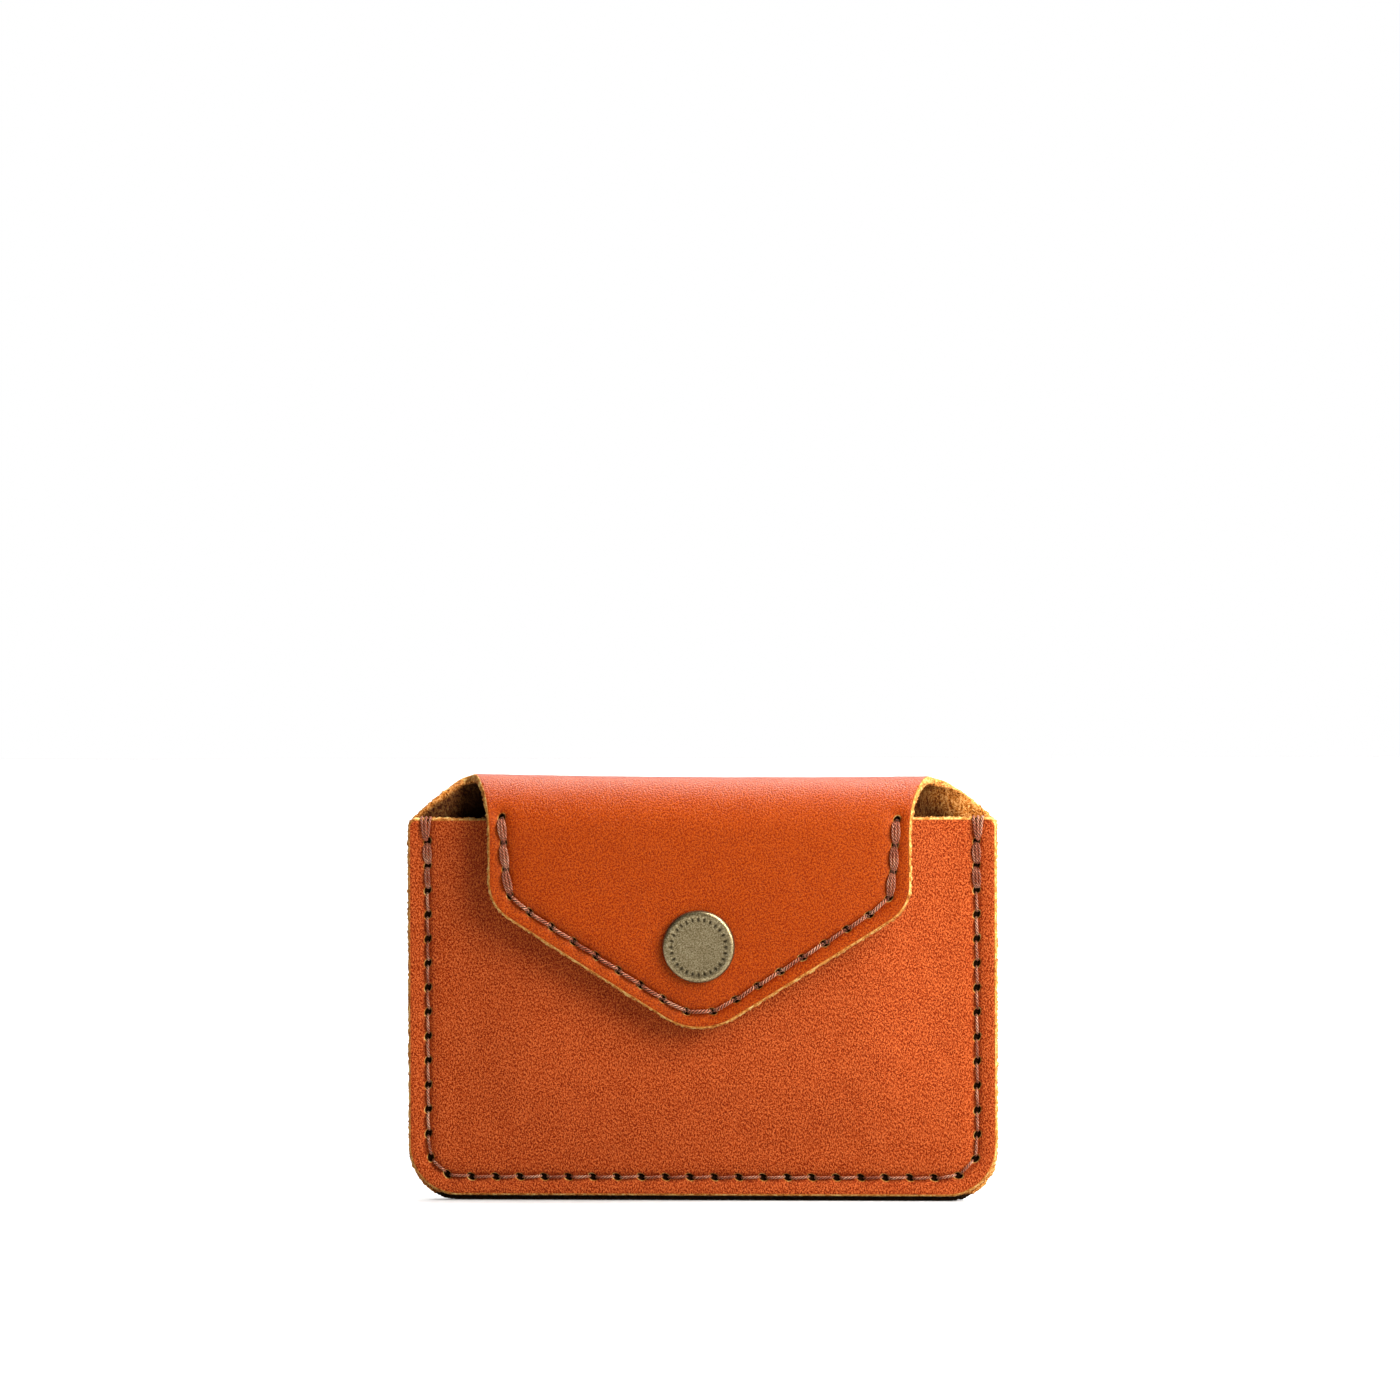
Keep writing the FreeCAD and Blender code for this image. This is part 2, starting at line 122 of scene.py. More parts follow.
# ---- sizes of the cap. Its section is in shares of its radius, with depths below its highest place.
CAP_PROFILE = ((0.0, 0.06), (0.40, 0.06), (0.70, 0.05), (0.82, 0.02), (0.87, 0.0), (0.91, 0.015),
               (0.95, 0.08), (0.975, 0.20), (0.99, 0.38), (1.0, 0.62), (1.0, 1.12))
MARKS, MARKS_AT = 28, 0.76    # how many dashes, and at what share of the radius
MARK_WIDE, MARK_LONG, MARK_DEPTH = 0.28, 0.48, 0.05

# ---- how finely the leather is divided
LINE_STEP = 0.1
OUTLINE_STEP = 0.25
FRONT_SPACING, SHEET_SPACING = 0.8, 0.75
EDGE_RINGS = (0.06, 0.15, 0.30, 0.48, 0.75, 1.1)
ROW_RINGS = (0.01, 0.25, 0.5, 0.85, 1.3, 1.9)
# Rings of points round a hole, as sizes against the hole's own and numbers of points.
HOLE_RINGS = ((1.7, 12), (1.35, 12), (1.12, 12), (0.95, 12), (0.78, 10), (0.6, 8), (0.3, 5))
FRAY_ROWS = (0.22, 0.42, 0.62, 0.82)


def smoothstep(start, end, x):
    """0 up to start, 1 from end on, and a smooth step between them."""
    t = np.clip((x - start) / (end - start), 0, 1)
    return t * t * (3 - 2 * t)


def waves(points, size, seed=0):
    """Smooth noise from about -0.5 to 0.5, with waves about that many millimetres long."""
    shift = Vector((seed * 17.3, seed * 5.1, seed * 9.7))
    return np.array([noise.noise(Vector(p).to_3d() / size + shift) for p in points])


def unit(vectors):
    """The same directions, one unit long."""
    return vectors / np.linalg.norm(vectors, axis=1)[:, None]


def turned_left(vectors):
    """Flat vectors turned by a quarter turn."""
    return np.stack([-vectors[:, 1], vectors[:, 0]], axis=1)


def hollow(distance, depth, width):
    """How deep a soft round hollow is at some distance from its middle."""
    return depth * np.exp(-(distance / width) ** 2)


# ---- flat outlines
def rounded(corners, step, closed=True):
    """Points about `step` apart along a line through (x, y, radius) corners, each rounded by an arc."""
    corners = [(np.array(c[:2], float), c[2]) for c in corners]
    ends = []
    for i, (at, radius) in enumerate(corners):
        if radius == 0 or (not closed and i in (0, len(corners) - 1)):
            ends.append([at])
            continue
        before = corners[i - 1][0] - at
        after = corners[(i + 1) % len(corners)][0] - at
        before /= np.linalg.norm(before)
        after /= np.linalg.norm(after)
        turn = math.acos(np.clip(before @ after, -1, 1)) / 2
        bisector = (before + after) / np.linalg.norm(before + after)
        centre = at + bisector * radius / math.sin(turn)
        first = at + before * radius / math.tan(turn) - centre
        last = at + after * radius / math.tan(turn) - centre
        sweep = math.pi - 2 * turn
        count = max(2, math.ceil(radius * sweep / step))
        shares = np.linspace(0, 1, count + 1)
        arc = [centre + (first * math.sin((1 - t) * sweep) + last * math.sin(t * sweep)) / math.sin(sweep)
               for t in shares]
        ends.append(arc)
    points = []
    for i, arc in enumerate(ends):
        points += arc
        if i + 1 < len(ends) or closed:
            start, end = arc[-1], ends[(i + 1) % len(ends)][0]
            count = max(1, math.ceil(np.linalg.norm(end - start) / step))
            points += [start + (end - start) * k / count for k in range(1, count)]
    return np.array(points)


def divided(points, count):
    """The ends of `count` equal steps along a line of points, and the line's whole length."""
    lengths = np.concatenate([[0], np.cumsum(np.linalg.norm(np.diff(points, axis=0), axis=1))])
    wanted = np.linspace(0, lengths[-1], count + 1)
    return np.stack([np.interp(wanted, lengths, values) for values in points.T], axis=1), lengths[-1]


def mirrored(right_side, *middle):
    """A closed outline's corners from those of its right side, listed upward, and any in the middle."""
    return right_side + list(middle) + [(-x, y, r) for x, y, r in reversed(right_side)]


# ---- the fold's path
def fold_path():
    """The outer face's section, from the bottom of the rear panel over the fold and down the flap.

    Returns lengths along it, with depth, height and heading (0 is up, pi is down) at each.
    """
    arcs = [r * math.radians(a) for r, a in zip(BEND_RADII, bend_angles)]
    headings = np.radians(np.cumsum([0] + bend_angles[:-1]) + np.array(bend_angles) / 2)
    half = math.radians(bend_angles[0] / 2)
    middles = [pivots[0][1] + BEND_RADII[0] * (half - math.sin(half))]
    for i in (0, 1):
        chord = np.linalg.norm(pivots[i + 1] - pivots[i])
        turned = headings[i + 1] - headings[i]
        middles.append(middles[i] + chord * (1 + turned ** 2 / 40))    # the eased line is that much longer
    length = np.arange(0, middles[2] + 60, 0.05)
    heading = np.zeros(len(length))
    for middle, arc, angle, spread in zip(middles, arcs, bend_angles, BEND_SPREADS):
        reach = arc * spread / 2
        heading += math.radians(angle) * smoothstep(middle - reach, middle + reach, length)
    step = np.gradient(length)
    depth = rear_face - np.cumsum(np.sin(heading) * step)
    height = np.cumsum(np.cos(heading) * step)
    crossed = smoothstep(middles[0], middles[2] + 3, length)
    depth += (flap_front - depth[-1]) * crossed
    top = cad("fold_rear")[1][2]
    height += (top - height.max()) * smoothstep(middles[0] - 4, middles[1], length)
    return length, depth, height, heading, middles


path_s, path_y, path_z, path_heading, bend_middles = fold_path()
cut_lengths = [(bend_middles[i] + bend_middles[i + 1]) / 2 for i in (0, 1)]


def length_at_height(z):
    """The length along the path where the hanging flap is at that height."""
    hanging = path_s > bend_middles[2] + 2
    return float(np.interp(-z, -path_z[hanging], path_s[hanging]))


# ---- shapes in space
def rear_depth(u, s):
    """Share of the rear panel's full bulge: none on the sewn border, all in the middle."""
    wall = REAR_WALL + (REAR_WALL_AT_MOUTH - REAR_WALL) * smoothstep(30, 69, s)
    side = smoothstep(0, 1, (half_width - FLANGE - np.abs(u)) / wall)
    foot = smoothstep(FLANGE, FLANGE + REAR_FOOT, s)
    past_fold = smoothstep(71, 77, s)
    return np.maximum(side * foot, past_fold)


def sheet_surface(flat):
    """The grain side of the rear panel, fold and flap."""
    u, s = flat[:, 0], flat[:, 1]
    y = np.interp(s, path_s, path_y)
    z = np.interp(s, path_s, path_z)
    bulge = rear_face - seam_y - LEATHER
    y = y - bulge * (1 - rear_depth(u, s))
    over = smoothstep(bend_middles[0] - 4, bend_middles[0] + 2, s)
    along = u / flap_half
    z = z - over * (FOLD_DROP[0] + FOLD_DROP[1] * along + FOLD_DROP[2] * along ** 2)
    hanging = smoothstep(bend_middles[2], bend_middles[2] + 12, s)
    from_snap = np.hypot(u, z - snap_z)
    curl = SIDE_CURL * smoothstep(0.6, 1.02, np.abs(along))
    curl += TIP_CURL * smoothstep(snap_z - 6, FLAP_TIP_Z, z)
    y = y + hanging * (hollow(from_snap, *SNAP_DIP) + curl)
    return np.stack([u, y, z], axis=1)


def front_surface(flat):
    """The grain side of the front panel."""
    u, z = flat[:, 0], flat[:, 1]
    bulge = seam_y - LEATHER - front_low[1]
    side = smoothstep(0, FRONT_WALL, half_width - FLANGE - np.abs(u))
    foot = smoothstep(FLANGE, FLANGE + FRONT_FOOT, z)
    y = np.full(len(u), seam_y - LEATHER) - bulge * side * foot
    return np.stack([u, y, z], axis=1)


def normals_of(surface, flat, facing):
    """Unit normals of a surface. facing is 1 if (first x second) coordinate points outward, or -1."""
    step = 0.03
    across = surface(flat + [step, 0]) - surface(flat - [step, 0])
    along = surface(flat + [0, step]) - surface(flat - [0, step])
    return unit(np.cross(across, along) * facing)


# ---- distances on the flat leather
def flat_tree(points):
    """A tree for finding the nearest of some flat points."""
    tree = kdtree.KDTree(len(points))
    for i, p in enumerate(points):
        tree.insert((p[0], p[1], 0), i)
    tree.balance()
    return tree


class Line:
    """A dense line on the flat leather, for finding how far points are from it."""

    def __init__(self, points):
        self.points, self.tree = points, flat_tree(points)

    def distance(self, flat):
        return np.array([self.tree.find((p[0], p[1], 0))[2] for p in flat])


class Stitching:
    """Rows of needle holes, each from its line, number of stitches and slant, which turns its holes."""

    def __init__(self, *rows):
        self.lines = [Line(points) for points, _, _ in rows]
        holes, slots = [], []
        for points, count, slant in rows:
            places, _ = divided(points, count)
            along = np.roll(places, -1, axis=0) - np.roll(places, 1, axis=0)
            along[0], along[-1] = places[1] - places[0], places[-1] - places[-2]
            along = unit(along)
            holes.append(places)
            slots.append(along * math.cos(slant) + turned_left(along) * math.sin(slant))
        self.holes, self.slot_along = np.concatenate(holes), np.concatenate(slots)
        self.slot_across = turned_left(self.slot_along)
        self.tree = flat_tree(self.holes)

    def distance(self, flat):
        """How far each point is from the nearest row."""
        return np.min([line.distance(flat) for line in self.lines], axis=0)

    def fringe(self, distances, step):
        """Points beside the rows' lines, at those distances on both sides."""
        points = []
        for line in self.lines:
            middle, _ = divided(line.points, round(len(line.points) * LINE_STEP / step))
            across = turned_left(unit(np.gradient(middle, axis=0)))
            beside = np.concatenate([middle + across * side * d for d in distances for side in (-1, 1)])
            wanted = np.repeat(distances, 2 * len(middle))
            points.append(beside[line.distance(beside) > wanted - 0.03])
        return np.concatenate(points)

    def nearest_hole(self, flat):
        """For each point: how far the nearest hole is, and the same measured in sizes of the slanted hole."""
        plain, shaped = [], []
        for p in flat:
            _, i, distance = self.tree.find((p[0], p[1], 0))
            offset = p - self.holes[i]
            along, across = offset @ self.slot_along[i], offset @ self.slot_across[i]
            shaped.append(math.hypot(along / HOLE_LONG, across / HOLE_WIDE))
            plain.append(distance)
        return np.array(plain), np.array(shaped)


def relief(flat, edge, stitching, rounding):
    """How far the leather's face is pressed in at each point: its rounded edge, stitch groove and holes."""
    gap = np.clip(rounding - edge, 0, rounding)
    depth = rounding - np.sqrt(rounding ** 2 - gap ** 2)
    row = stitching.distance(flat)
    plain, shaped = stitching.nearest_hole(flat)
    depth += hollow(row, *ROW_GROOVE) + hollow(row, *ROW_DIP) + hollow(plain, *HOLE_DIP)
    depth -= hollow(shaped - HOLE_LIP_AT, *HOLE_LIP)
    depth += HOLE_DEPTH * (1 - smoothstep(0.7, 1.2, shaped)) * np.clip(1.3 - depth, 0, 1)
    depth += 0.035 * waves(flat, 5.0, 1) + 0.02 * waves(flat, 1.7, 2)
    return depth, row, shaped


# ---- flat meshes
def ring(outline, inset):
    """The outline moved inward. The caller drops points that come too near to another stretch of it."""
    along = np.roll(outline, -1, axis=0) - np.roll(outline, 1, axis=0)
    return outline + turned_left(unit(along)) * inset


def edge_and_row_points(outline, edge_line, stitching):
    """Rings of points along the outline, and rows of them beside the stitches."""
    chosen = []
    for distance in EDGE_RINGS:
        points = ring(outline, distance)
        chosen.append(points[edge_line.distance(points) > distance - 0.02])
    beside = stitching.fringe(ROW_RINGS, 0.4)
    chosen.append(beside[edge_line.distance(beside) > EDGE_RINGS[-1] + 0.2])
    return np.concatenate(chosen)


def grid_points(outline, edge_line, stitching, spacing, cuts):
    """A grid of points, every second row shifted, over what the rings and rows leave free."""
    low, high = outline.min(axis=0), outline.max(axis=0)
    columns = np.arange(low[0], high[0], spacing)
    rows = row_heights(low[1], high[1], spacing, cuts)
    grid = np.array([(x + (k % 2) * spacing / 2, y) for k, y in enumerate(rows) for x in columns])
    grid = grid[inside(grid, outline)]
    grid = grid[edge_line.distance(grid) > EDGE_RINGS[-1] + spacing * 0.5]
    return grid[stitching.distance(grid) > ROW_RINGS[-1] + spacing * 0.5]


def hole_points(outline, edge_line, stitching):
    """Rings of points round each needle hole."""
    points = []
    for hole, along, across in zip(stitching.holes, stitching.slot_along, stitching.slot_across):
        for size, number in HOLE_RINGS:
            for k in range(number):
                turn = 2 * math.pi * k / number
                points.append(hole + along * HOLE_LONG * size * math.cos(turn)
                              + across * HOLE_WIDE * size * math.sin(turn))
    points = np.array(points)
    points = points[inside(points, outline)]
    return points[edge_line.distance(points) > 0.1]


def cut_rows(outline, cuts, spacing, first):
    """Points across the outline at each cut, numbered from first, and the edges that join them."""
    rows, edges = [], []
    for cut in cuts:
        ends = [i for i in range(len(outline)) if abs(outline[i][1] - cut) < 1e-9]
        left, right = sorted(ends, key=lambda i: outline[i][0])
        count = int((outline[right][0] - outline[left][0]) / spacing)
        xs = np.linspace(outline[left][0], outline[right][0], count + 1)[1:-1]
        rows.append(np.stack([xs, np.full(len(xs), cut)], axis=1))
        chain = [left] + list(range(first, first + len(xs))) + [right]
        edges += list(zip(chain[:-1], chain[1:]))
        first += len(xs)
    return rows, edges


def flat_mesh(outline, stitching, spacing, cuts=()):
    """Triangles that fill an outline (listed counter-clockwise), finer at its edge and its stitches.

    cuts are heights where a line of vertices runs right across, so that the mesh can be split there.
    """
    edge_line = Line(evenly_divided(outline, LINE_STEP))
    outline = with_cuts(outline, cuts)
    count = len(outline)
    points = np.concatenate([edge_and_row_points(outline, edge_line, stitching),
                             grid_points(outline, edge_line, stitching, spacing, cuts)])
    points = points[inside(points, outline)]
    _, shaped = stitching.nearest_hole(points)
    points = points[shaped > HOLE_RINGS[0][0] + 0.2]
    points = np.concatenate([points, hole_points(outline, edge_line, stitching)])
    for cut in cuts:
        points = points[np.abs(points[:, 1] - cut) > 0.2]
    rows, row_edges = cut_rows(outline, cuts, spacing, count + len(points))
    edges = [(i, (i + 1) % count) for i in range(count)] + row_edges
    verts = [Vector(p) for p in np.concatenate([outline, points] + rows)]
    verts, _, faces, _, _, _ = delaunay_2d_cdt(verts, edges, [list(range(count))], 1, 1e-6)
    flat = np.array([tuple(v) for v in verts])
    triangles = np.array([f for f in faces if len(f) == 3])
    a, b, c = (flat[triangles[:, k]] for k in range(3))
    area = (b[:, 0] - a[:, 0]) * (c[:, 1] - a[:, 1]) - (b[:, 1] - a[:, 1]) * (c[:, 0] - a[:, 0])
    triangles[area < 0] = triangles[area < 0][:, ::-1]
    return flat, triangles[np.abs(area) > 1e-9], edge_line.distance(flat)


def row_heights(low, high, spacing, cuts):
    """Heights of the rows of vertices, about `spacing` apart, with one at each cut."""
    if not cuts:
        return np.arange(low, high, spacing)
    step = (cuts[1] - cuts[0]) / round((cuts[1] - cuts[0]) / spacing)
    first = cuts[0] - step * int((cuts[0] - low) / step)
    return np.arange(first, high, step)


def evenly_divided(outline, step):
    """The same closed outline with points about `step` apart."""
    ahead = np.roll(outline, -1, axis=0)
    parts = []
    for a, b in zip(outline, ahead):
        count = max(1, math.ceil(np.linalg.norm(b - a) / step))
        parts.append(a + (b - a) * (np.arange(count) / count)[:, None])
    return np.concatenate(parts)


def with_cuts(outline, cuts):
    """The outline with a point added wherever it crosses one of those heights."""
    points = []
    for a, b in zip(outline, np.roll(outline, -1, axis=0)):
        points.append(a)
        for cut in cuts:
            if (a[1] - cut) * (b[1] - cut) < 0:
                share = (cut - a[1]) / (b[1] - a[1])
                points.append(np.array([a[0] + (b[0] - a[0]) * share, cut]))
    return np.array(points)


def inside(points, outline):
    """Which points lie inside a closed outline."""
    x, y = points[:, 0][:, None], points[:, 1][:, None]
    result = np.zeros(len(points), bool)
    a, b = outline, np.roll(outline, -1, axis=0)
    for chunk in range(0, len(points), 4000):
        part = slice(chunk, chunk + 4000)
        crosses = (a[:, 1] > y[part]) != (b[:, 1] > y[part])
        with np.errstate(divide="ignore", invalid="ignore"):
            at = (b[:, 0] - a[:, 0]) * (y[part] - a[:, 1]) / (b[:, 1] - a[:, 1]) + a[:, 0]
        result[part] = (crosses & (x[part] < at)).sum(axis=1) % 2 == 1
    return result


# ---- meshes
def make_mesh(name, verts, faces, materials, material_index=None, attributes=None):
    """A smooth mesh object from points in millimetres."""
    mesh = bpy.data.meshes.new(name)
    mesh.from_pydata((np.asarray(verts) * MM).tolist(), [], [tuple(map(int, f)) for f in faces])
    for material in materials:
        mesh.materials.append(material)
    if material_index is not None:
        mesh.polygons.foreach_set("material_index", np.asarray(material_index, np.int32))
    mesh.polygons.foreach_set("use_smooth", np.ones(len(mesh.polygons), bool))
    for key, values in (attributes or {}).items():
        values = np.asarray(values, np.float32)
        if values.ndim == 1:
            mesh.attributes.new(key, "FLOAT", "POINT").data.foreach_set("value", values)
        else:
            mesh.attributes.new(key, "FLOAT_VECTOR", "POINT").data.foreach_set("vector", values.ravel())
    mesh.update()
    piece = bpy.data.objects.new(name, mesh)
    bpy.context.scene.collection.objects.link(piece)
    return piece


def vertex_normals(points, triangles):
    """Area-weighted normals of a mesh of triangles."""
    a, b, c = (points[triangles[:, k]] for k in range(3))
    face = np.cross(b - a, c - a)
    total = np.zeros_like(points)
    for k in range(3):
        np.add.at(total, triangles[:, k], face)
    return total / np.maximum(np.linalg.norm(total, axis=1), 1e-9)[:, None]


def shell(name, triangles, sheet, cuts, materials):
    """A closed piece of leather from some of a sheet's triangles: grain, suede and the cut edge between.

    Where the sheet is only split, at the heights in cuts, it keeps the whole sheet's normals, so that no
    line shows. The edge's vertices between the two faces are pushed outward unevenly, as a frayed edge, but
    at a split they are drawn in.
    """
    flat, facing, attributes = sheet["flat"], sheet["facing"], sheet["attributes"]
    used = np.unique(triangles)
    order = np.full(len(flat), -1)
    order[used] = np.arange(len(used))
    tris = order[triangles][:, ::facing]
    count = len(used)
    directed = {(a, b) for t in tris for a, b in ((t[0], t[1]), (t[1], t[2]), (t[2], t[0]))}
    border = [(a, b) for a, b in directed if (b, a) not in directed]
    rim = sorted({a for a, _ in border})
    row_of = {v: i for i, v in enumerate(rim)}
    top, under = sheet["grain"][used], sheet["suede"][used]
    split = np.array([any(abs(h - cut) < 0.001 for cut in cuts) for h in flat[used][rim][:, 1]])
    outward = edge_directions(top, border, rim)
    rough = waves(top[rim], 0.9, 3)
    recess = SPLIT_RECESS * split[:, None] * towards_middle(sheet, used[rim], flat[used][:, 1].mean())
    rows = []
    for k, share in enumerate(FRAY_ROWS):
        at = top[rim] * (1 - share) + under[rim] * share
        fray = FRAY + FRAY_FINE * waves(at, 0.42, 4 + k) + FRAY_COARSE * rough
        rows.append(at + outward * (fray * ~split)[:, None] + recess)
    verts = np.concatenate([top, under] + rows)
    faces = [tuple(t) for t in tris] + [tuple(t[::-1] + count) for t in tris]
    index = [0] * len(tris) + [2] * len(tris)

    def ladder(v):
        """A border vertex's column across the edge, from the grain to the suede."""
        return [v] + [2 * count + k * len(rim) + row_of[v] for k in range(len(FRAY_ROWS))] + [v + count]

    for a, b in border:
        ladder_a, ladder_b = ladder(a), ladder(b)
        for k in range(len(FRAY_ROWS) + 1):
            faces.append((ladder_b[k], ladder_a[k], ladder_a[k + 1], ladder_b[k + 1]))
            index.append(1)
    spread = {key: np.concatenate([v[used], v[used]] + [v[used][rim]] * len(FRAY_ROWS))
              for key, v in attributes.items()}
    piece = make_mesh(name, verts, faces, materials, index, spread)
    if split.any():
        keep_normals(piece.data, sheet, used, np.array(rim)[split])
    return piece


def keep_normals(mesh, sheet, used, joined):
    """Gives a piece's vertices at a split the normals of the whole sheet."""
    normals = np.zeros(len(mesh.vertices) * 3, np.float32)
    mesh.vertex_normals.foreach_get("vector", normals)
    normals = normals.reshape(-1, 3)
    normals[joined] = sheet["grain_normals"][used][joined]
    normals[joined + len(used)] = sheet["suede_normals"][used][joined]
    mesh.normals_split_custom_set_from_vertices(normals.tolist())


def towards_middle(sheet, chosen, middle):
    """For some of a sheet's vertices, the direction up or down the sheet that leads to a middle height."""
    flat = sheet["flat"][chosen]
    up = unit(sheet["surface"](flat + [0, 0.1]) - sheet["surface"](flat))
    return up * np.sign(middle - flat[:, 1])[:, None]


def edge_directions(points, border, border_verts):
    """Which way is outward from the sheet, in its own surface, at each vertex of its border."""
    total = {v: np.zeros(3) for v in border_verts}
    middle = points.mean(axis=0)
    for a, b in border:
        step = points[b] - points[a]
        total[a] += step
        total[b] += step
    result = []
    for v in border_verts:
        along = total[v] / max(np.linalg.norm(total[v]), 1e-9)
        out = points[v] - middle
        out -= along * (out @ along)
        out[1] *= 0.2
        result.append(out / max(np.linalg.norm(out), 1e-9))
    return np.array(result)


# ---- thread
def smooth_line(points, count):
    """`count` even points on a smooth line through a few points, and its length."""
    points = np.array(points)
    padded = np.concatenate([[2 * points[0] - points[1]], points, [2 * points[-1] - points[-2]]])
    fine = []
    for i in range(len(points) - 1):
        a, b, c, d = padded[i:i + 4]
        for t in np.linspace(0, 1, 12, endpoint=False):
            fine.append(0.5 * (2 * b + (c - a) * t + (2 * a - 5 * b + 4 * c - d) * t ** 2
                               + (3 * b - 3 * c + d - a) * t ** 3))
    return divided(np.array(fine + [points[-1]]), count - 1)


def bands(rings, around):
    """The faces that join each ring of vertices to the next."""
    faces = []
    for i in range(rings - 1):
        for k in range(around):
            m = (k + 1) % around
            faces.append((i * around + k, i * around + m, (i + 1) * around + m, (i + 1) * around + k))
    return faces


def tube(line, side, up, radius, around):
    """A closed tube round a line, as vertices and faces."""
    turn = np.linspace(0, 2 * math.pi, around, endpoint=False)
    spoke = np.cos(turn)[:, None] * side[:, None, :] + np.sin(turn)[:, None] * up[:, None, :]
    verts = line[:, None, :] + radius * spoke
    faces = bands(len(line), around)
    faces.append(tuple(range(around))[::-1])
    faces.append(tuple((len(line) - 1) * around + k for k in range(around)))
    return verts.reshape(-1, 3), faces


def twisted(points, upward, start_turn, scale):
    """Three plies twisted round a smooth line through the points. upward is the leather's normal.

    Returns vertices, faces, and how deep each vertex lies in the grooves between the plies, from 0 to 1.
    """
    around = 7
    line, length = smooth_line(points, 30)
    tangent = unit(np.gradient(line, axis=0))
    side = unit(np.cross(tangent, upward))
    up = np.cross(side, tangent)
    along = np.linspace(0, length, len(line))
    verts, faces, groove = [], [], []
    for ply in range(3):
        angle = start_turn + 2 * math.pi * (along / TWIST + ply / 3)
        centre = line + scale * THREAD_R * (np.cos(angle)[:, None] * side + np.sin(angle)[:, None] * up)
        v, f = tube(centre, side, up, PLY_R * scale, around)
        faces += [tuple(k + sum(map(len, verts)) for k in face) for face in f]
        verts.append(v)
        from_axis = np.linalg.norm(v - np.repeat(line, around, axis=0), axis=1)
        groove.append(1 - (from_axis / scale - THREAD_R + PLY_R) / (2 * PLY_R))
    return np.concatenate(verts), faces, np.concatenate(groove)


class Thread:
    """Gathers the strands of one row of stitches into one mesh."""

    def __init__(self):
        self.verts, self.faces, self.groove = [], [], []

    def add(self, points, upward, scale):
        verts, faces, groove = twisted(points, upward, rng.uniform(0, 2 * math.pi), scale)
        base = sum(map(len, self.verts))
        self.faces += [tuple(k + base for k in f) for f in faces]
        self.verts.append(verts)
        self.groove.append(groove)

    def piece(self, name, material):
        groove = np.concatenate(self.groove)
        verts = np.concatenate(self.verts)
        return make_mesh(name, verts, self.faces, [material], attributes={"groove": groove})


def stitch_points(surface, facing, a, b, gap, drift, lift, aside=0.0):
    """A strand from hole a to hole b: it rises out of one, lies in the groove and dives into the other.

    gap is how far from each hole's middle it starts, drift how far it leans across the row on its way, and
    aside how far its middle bows out. Returns its points and the leather's normal at its middle.
    """
    length = np.linalg.norm(b - a)
    along = (b - a) / length
    across = np.array([-along[1], along[0]])
    low, high = gap / length, 1 - gap / length
    near_end = np.array([-0.03, 0, 0.06, 0.16])
    shares = np.concatenate([low + near_end, [0.5], high - near_end[::-1]])
    heights = lift + np.array([-1.2, -0.75, -0.3, -0.02, 0.05, -0.02, -0.3, -0.75, -1.2])
    bulge = np.sin(math.pi * np.clip(shares, 0, 1)) ** 0.6
    sideways = drift * (2 * shares - 1) + aside * bulge
    flat = a + along * (shares * length)[:, None] + across * sideways[:, None]
    normal = normals_of(surface, flat, facing)
    return surface(flat) + normal * heights[:, None], normal[4]


def sew(thread, surface, facing, holes, gap, drift, lift, first_locks, last_locks, skip_ends=0, scale=0.85):
    """Stitches between the holes. first_locks and last_locks say how many strands lock its end stitches."""
    last = len(holes) - 2
    strands = dict(enumerate(first_locks))
    strands.update({last - i: n for i, n in enumerate(last_locks)})
    for i in range(skip_ends, len(holes) - 1 - skip_ends):
        count = strands.get(i, 1)
        for k in range(count):
            aside = (k - (count - 1) / 2) * STRANDS_APART
            lean = drift + rng.uniform(-0.05, 0.05)
            start = gap + rng.uniform(-0.06, 0.06) - (LOCK_REACH if count > 1 else 0)
            height = lift + (LOCK_LIFT if count > 1 else 0) + (TOP_LIFT if count == 3 and k == 1 else 0)
            ends = holes[i], holes[i + 1]
            points, normal = stitch_points(surface, facing, *ends, start, lean, height, aside)
            thread.add(points, normal, scale if count == 1 else LOCK_SCALE)


# ---- materials
LIGHT_LEVEL = 2.7    # how brightly the middle of the front is lit, against white


def seen_as(red, green, blue):
    """The base colour of something that looks like this, 0 to 255, in the middle of the lit front."""
    def linear(c):
        return c / 12.92 if c <= 0.04 else ((c + 0.055) / 1.055) ** 2.4
    return tuple(linear(c / 255) / LIGHT_LEVEL for c in (red, green, blue)) + (1.0,)


# the painted shade in the middle of each needle hole
HOLE_SHADE_TONE = seen_as(20, 6, 2)


